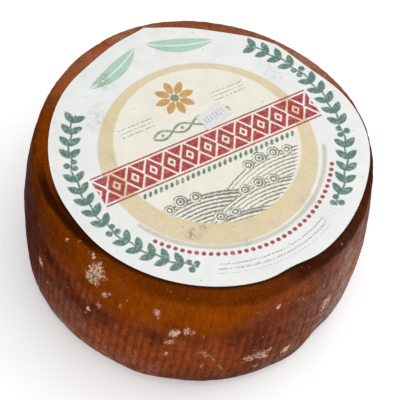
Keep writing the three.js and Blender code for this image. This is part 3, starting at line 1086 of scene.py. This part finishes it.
def label_material(label):
    """Uncoated label paper, offset printed. It is matt and slightly bluish white. The inks have
    soft, slightly ragged edges, the red one is worn through, and oil has tinted the paper."""
    material, tree, shader = new_material("printed_label_paper", ior=1.5, roughness=0.62)
    place = add(tree, "ShaderNodeTexCoord")["Object"]
    part = {key: add(tree, "ShaderNodeAttribute", attribute_name=key)["Fac"]
            for key in ("cream", "tan", "khaki", "pale_green", "green", "olive", "ochre", "red",
                        "tone", "lines", "rows", "block", "stain")}
    # Noise: its name, size in mm, detail and roughness.
    noises = (("ragged", 0.8, 2, 0.5), ("clouds", 9, 4, 0.5), ("worn", 1.6, 4, 0.65))
    for key, size, detail, roughness in noises:
        part[key] = add(tree, "ShaderNodeTexNoise", {
            "Vector": place, "Scale": per(size), "Detail": detail, "Roughness": roughness})["Fac"]
    part["speck"] = add(tree, "ShaderNodeTexVoronoi", {"Vector": place, "Scale": per(7)})["Distance"]
    strayed = add(tree, "ShaderNodeMath", {0: part["ragged"], 1: 0.5, 2: -0.25},
                  operation="MULTIPLY_ADD")[0]

    # Each ink lies where its distance is negative: its name, the softness of its edge in mm, how
    # strongly it covers, and the share that is worn off in places.
    paper = label.paper[:]
    inks = (
        ("cream", 1.5, 0.85, 0.6),
        ("tan", 0.5, 0.85, 0.3),
        ("khaki", 0.5, 0.8, 0.4),
        ("pale_green", 0.3, 0.9, 0.2),
        ("green", 0.28, 0.95, 0.35),
        ("olive", 0.28, 0.9, 0.3),
        ("ochre", 0.28, 0.95, 0.3),
        ("red", 0.24, 0.98, 0.2),
    )
    for key, softness, strength, wear in inks:
        edge = add(tree, "ShaderNodeMath", {0: part[key], 1: strayed}, operation="ADD")[0]
        share = add(tree, "ShaderNodeMapRange", {"Value": edge, "From Min": -softness,
                                                 "From Max": softness, "To Min": strength,
                                                 "To Max": 0})[0]
        thin = add(tree, "ShaderNodeMapRange", {"Value": part["worn"], "From Min": 0.5,
                                                "From Max": 0.66, "To Min": 1,
                                                "To Max": 1 - wear})[0]
        share = add(tree, "ShaderNodeMath", {0: share, 1: thin}, operation="MULTIPLY")[0]
        paper = add(tree, "ShaderNodeMix", {0: share, COLOUR_A: paper,
                                            COLOUR_B: getattr(label, key)[:]},
                    data_type="RGBA")[COLOUR_OUT]

    # The engraving's lines are 2.4 mm apart and stray where the paper is worn. Lines and fine
    # rules rise and fall from 0 between two of them to 0.5 in the middle of each, and the darker
    # the engraving's tone is, the broader its lines.
    lines = add(tree, "ShaderNodeMath", {0: part["worn"], 1: 0.9, 2: part["lines"]},
                operation="MULTIPLY_ADD")[0]
    for key, source in (("line", lines), ("rule", part["rows"])):
        part[key] = add(tree, "ShaderNodeMath", {0: source, 1: 0.5}, operation="PINGPONG")[0]
    part["line"] = add(tree, "ShaderNodeMath", {0: part["tone"], 1: 0.4, 2: part["line"]},
                       operation="MULTIPLY_ADD")[0]

    # Ranges: a name, what it follows, two values of that and the two that they become. Rules
    # are 0.6 mm thick and broken into words, and the scattered specks are 0.6 mm wide.
    ranges = (
        ("line", "line", 0.44, 0.58, 0, 1),
        ("shown", "tone", 0.05, 0.3, 0, 0.85),
        ("rule", "rule", 0.3, 0.4, 0, 0.6),
        ("inside", "block", -0.2, 0.2, 1, 0),
        ("broken", "ragged", 0.42, 0.52, 0, 1),
        ("dirt", "worn", 0.43, 0.6, 0, 0.8),
        ("specks", "speck", 0.04, 0.08, 0.6, 0),
        ("cloudy", "clouds", 0.3, 0.7, 0.95, 1.02),
    )
    for key, source, *limits in ranges:
        part[key] = add(tree, "ShaderNodeMapRange", dict(enumerate((part[source], *limits))))[0]
    products = (("line", "shown"), ("rule", "inside"), ("rule", "broken"), ("stain", "dirt"))
    for key, factor in products:
        part[key] = add(tree, "ShaderNodeMath", {0: part[key], 1: part[factor]},
                        operation="MULTIPLY")[0]

    marks = (("line", label.grey), ("rule", label.grey), ("stain", label.stain),
             ("specks", label.stain))
    for key, tint in marks:
        paper = add(tree, "ShaderNodeMix", {0: part[key], COLOUR_A: paper, COLOUR_B: tint[:]},
                    data_type="RGBA")[COLOUR_OUT]
    paper = add(tree, "ShaderNodeVectorMath", {0: paper, "Scale": part["cloudy"]},
                operation="SCALE")[0]
    tree.links.new(paper, shader.inputs["Base Color"])

    relief = add(tree, "ShaderNodeBump", {"Height": part["clouds"], "Strength": 0.35,
                                          "Distance": 0.3 * MM})[0]
    tree.links.new(relief, shader.inputs["Normal"])
    return material


# ------------------------------------------------------------------------------- the sticker


def shape_sticker(wheel, label, sticker):
    """Gives the sticker's place(u, v, side): a rectangle whose short ends are sine waves, turned,
    lying on the label, with its ends curled up by the square of the distance."""

    def place(u, v, side):
        wave = STICKER_WAVE_SIZE * np.sin(2 * math.pi * STICKER_WAVES * (v + 1) / 2)
        along = u * (sticker.length / MM / 2 + wave * np.abs(u) ** 7)
        across = v * sticker.width / MM / 2
        x, y = turned(along, across, -sticker.turn)
        x, y = x + STICKER_CENTRE[0], y + STICKER_CENTRE[1]
        share = np.hypot(x - LABEL_CENTRE[0], y - LABEL_CENTRE[1]) * MM / label.radius
        under = draped_height(wheel, x, y, paper_clearance(share, 1)) + ripples(label, x, y, share)
        height = under + 0.04 + 0.12 * side + sticker.curl / MM * u ** 4
        return np.stack([x, y, height], -1)

    return place


def stroke_values(sticker, points):
    """The distance outside seven plain upright strokes in a row, and outside a thin rule."""
    along, across = turned(points[:, 0] - STICKER_CENTRE[0], points[:, 1] - STICKER_CENTRE[1],
                           sticker.turn)
    gap, cell = repeated(along, 2.1)
    tall = 2.3 - 0.5 * (np.abs(cell) % 2)
    strokes = np.maximum(np.abs(gap - 0.12 * across) - 0.33, np.abs(across) - tall)
    return {"strokes": np.maximum(strokes, np.abs(along) - 7.0)}


def sticker_material(sticker):
    """Coated paper of a marking gun's roll, smoother and whiter than the label, with strokes of
    faint violet ink."""
    material, tree, shader = new_material("coated_sticker_paper", ior=1.5, roughness=0.42)
    place = add(tree, "ShaderNodeTexCoord")["Object"]
    strokes = add(tree, "ShaderNodeAttribute", attribute_name="strokes")["Fac"]
    worn = add(tree, "ShaderNodeTexNoise", {"Vector": place, "Scale": per(0.9), "Detail": 3})["Fac"]
    share = add(tree, "ShaderNodeMapRange", {"Value": strokes, "From Min": -0.25, "From Max": 0.25,
                                             "To Min": 0.9, "To Max": 0})[0]
    thin = add(tree, "ShaderNodeMapRange", {"Value": worn, "From Min": 0.35, "From Max": 0.65,
                                            "To Min": 1, "To Max": 0.25})[0]
    share = add(tree, "ShaderNodeMath", {0: share, 1: thin}, operation="MULTIPLY")[0]
    paper = add(tree, "ShaderNodeMix", {0: share, COLOUR_A: sticker.paper[:],
                                        COLOUR_B: sticker.ink[:]}, data_type="RGBA")[COLOUR_OUT]
    tree.links.new(paper, shader.inputs["Base Color"])
    relief = add(tree, "ShaderNodeBump", {"Height": worn, "Strength": 0.2, "Distance": 0.1 * MM})[0]
    tree.links.new(relief, shader.inputs["Normal"])
    return material


# --------------------------------------------------------------------------------- operators


def settle(piece, node):
    """Ties a finished piece to the body and hides the solid that it stands for."""
    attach(piece, "root")
    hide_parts(node)


class CHEESE_OT_wheel(Operator):
    """Build the wheel of cheese with its ribbed rind"""

    bl_idname = "cheese.wheel"
    bl_label = "Build Wheel"

    def execute(self, context):
        wheel, label = context.scene.cheese_wheel, context.scene.cheese_label
        points, values = shape_wheel(wheel, label)
        rings, columns = points.shape[:2]
        poles = np.array([(0, 0, 0), (0, 0, WHEEL_TOP - 0.05)])
        ring = np.arange(columns)
        after = np.roll(ring, -1)
        last = (rings - 1) * columns
        foot, crown = rings * columns, rings * columns + 1
        faces = [
            grid_faces(rings, columns, closed=True),
            np.stack([np.full(columns, foot), after, ring], -1),
            np.stack([np.full(columns, crown), ring + last, after + last], -1),
        ]
        values = {key: np.append(numbers.ravel(), (0, 0)) for key, numbers in values.items()}
        points = np.concatenate([points.reshape(-1, 3), poles])
        piece = make_piece("rind", points, faces, values, rind_material(wheel))
        settle(piece, "cheese_wheel")
        return {"FINISHED"}


class CHEESE_OT_label(Operator):
    """Build the printed paper label on the upper face"""

    bl_idname = "cheese.label"
    bl_label = "Build Label"

    def execute(self, context):
        wheel, label = context.scene.cheese_wheel, context.scene.cheese_label
        piece = sheet_piece("label_sheet", LABEL_CELLS, shape_label(wheel, label),
                            lambda points: print_values(label, points), label_material(label))
        settle(piece, "paper_label")
        return {"FINISHED"}


class CHEESE_OT_sticker(Operator):
    """Build the price sticker on the label"""

    bl_idname = "cheese.sticker"
    bl_label = "Build Sticker"

    def execute(self, context):
        scene = context.scene
        sticker = scene.cheese_sticker
        place = shape_sticker(scene.cheese_wheel, scene.cheese_label, sticker)
        piece = sheet_piece("sticker_sheet", STICKER_CELLS, place,
                            lambda points: stroke_values(sticker, points),
                            sticker_material(sticker))
        settle(piece, "price_sticker")
        return {"FINISHED"}


# Lamps: name, place and size in metres, power in watts. All shine on the wheel's middle.
LAMPS = (
    ("overhead_softbox", (0.25, 0.1, 1.6), 1.6, 18.0),
    ("right_softbox", (1.3, 0.5, 0.7), 0.9, 2.5),
    ("front_fill", (0.1, -1.4, 0.9), 1.0, 2.5),
)
ROOM_COLOUR, ROOM_STRENGTH = "#fbfcff", 0.26
FLOOR_GLOW = 0.48  # keeps the floor pale in the wheel's shadow
FLOOR_LEVEL = -0.02  # mm, so that the wheel's base isn't in the same plane


class CHEESE_OT_stage(Operator):
    """Set up the floor, the lights and the camera"""

    bl_idname = "cheese.stage"
    bl_label = "Set Stage"

    def execute(self, context):
        stage = context.scene.cheese_stage
        self.lay_floor(stage)
        middle = Vector((0, 0, WHEEL_TOP * MM / 2))
        for name, place, size, power in LAMPS:
            lamp = bpy.data.lights.new(name, "AREA")
            lamp.shape = "DISK"
            lamp.size = size
            lamp.energy = power
            holder = bpy.data.objects.new(name, lamp)
            holder.location = place
            holder.rotation_euler = (middle - Vector(place)).to_track_quat("-Z", "Y").to_euler()
            context.scene.collection.objects.link(holder)
        world = bpy.data.worlds.new("pale_room")
        world.use_nodes = True
        background = world.node_tree.nodes["Background"]
        background.inputs["Color"].default_value = linear(ROOM_COLOUR)
        background.inputs["Strength"].default_value = ROOM_STRENGTH
        context.scene.world = world
        context.scene.view_settings.view_transform = "Standard"
        self.set_camera(context, stage)
        return {"FINISHED"}

    def lay_floor(self, stage):
        """A round floor: radius times the cosine and sine of the azimuth, on rings."""
        material, tree, shader = new_material("painted_studio_floor", roughness=0.6)
        shader.inputs["Base Color"].default_value = stage.floor[:]
        shader.inputs["Emission Color"].default_value = stage.floor[:]
        shader.inputs["Emission Strength"].default_value = FLOOR_GLOW
        turn, share = np.meshgrid(np.radians(np.arange(0, 360, 5)), (0.02, 0.1, 0.3, 1))
        radius = share * stage.floor_radius / MM
        points = np.stack([radius * np.cos(turn), radius * np.sin(turn), 0 * turn + FLOOR_LEVEL], -1)
        rings, columns = turn.shape
        ring = np.arange(columns)
        faces = [grid_faces(rings, columns, closed=True)[:, ::-1],
                 np.stack([np.full(columns, turn.size), ring, np.roll(ring, -1)], -1)]
        points = np.append(points.reshape(-1, 3), [(0, 0, FLOOR_LEVEL)], axis=0)
        floor = make_piece("floor", points, faces, {}, material)

    def set_camera(self, context, stage):
        """The camera looks down on the wheel from the front."""
        lens = bpy.data.cameras.new("camera")
        lens.lens = stage.lens
        camera = bpy.data.objects.new("camera", lens)
        camera.location = Vector(stage.camera_place) + Vector(SHIFT) * MM
        camera.rotation_euler = stage.camera_turn
        context.scene.collection.objects.link(camera)
        context.scene.camera = camera


class CHEESE_PT_panel(Panel):
    """Lists the pieces and their settings"""

    bl_idname = "CHEESE_PT_panel"
    bl_label = "Cheese Wheel"
    bl_space_type = "VIEW_3D"
    bl_region_type = "UI"
    bl_category = "Cheese"

    def draw(self, context):
        for operator, key in BUILD_ORDER:
            box = self.layout.box()
            box.operator(operator.bl_idname)
            settings = getattr(context.scene, key)
            for name in type(settings).__annotations__:
                box.prop(settings, name)


BUILD_ORDER = (
    (CHEESE_OT_stage, "cheese_stage"),
    (CHEESE_OT_wheel, "cheese_wheel"),
    (CHEESE_OT_label, "cheese_label"),
    (CHEESE_OT_sticker, "cheese_sticker"),
)
SETTINGS = {
    "cheese_stage": StageSettings,
    "cheese_wheel": WheelSettings,
    "cheese_label": LabelSettings,
    "cheese_sticker": StickerSettings,
}


def register():
    for key, group in SETTINGS.items():
        bpy.utils.register_class(group)
        setattr(bpy.types.Scene, key, PointerProperty(type=group))
    for operator, _ in BUILD_ORDER:
        bpy.utils.register_class(operator)
    bpy.utils.register_class(CHEESE_PT_panel)


def unregister():
    bpy.utils.unregister_class(CHEESE_PT_panel)
    for operator, _ in reversed(BUILD_ORDER):
        bpy.utils.unregister_class(operator)
    for key, group in reversed(SETTINGS.items()):
        delattr(bpy.types.Scene, key)
        bpy.utils.unregister_class(group)


def main():
    register()
    for operator, _ in BUILD_ORDER:
        group, name = operator.bl_idname.split(".")
        getattr(getattr(bpy.ops, group), name)()


if __name__ == "__main__":
    main()
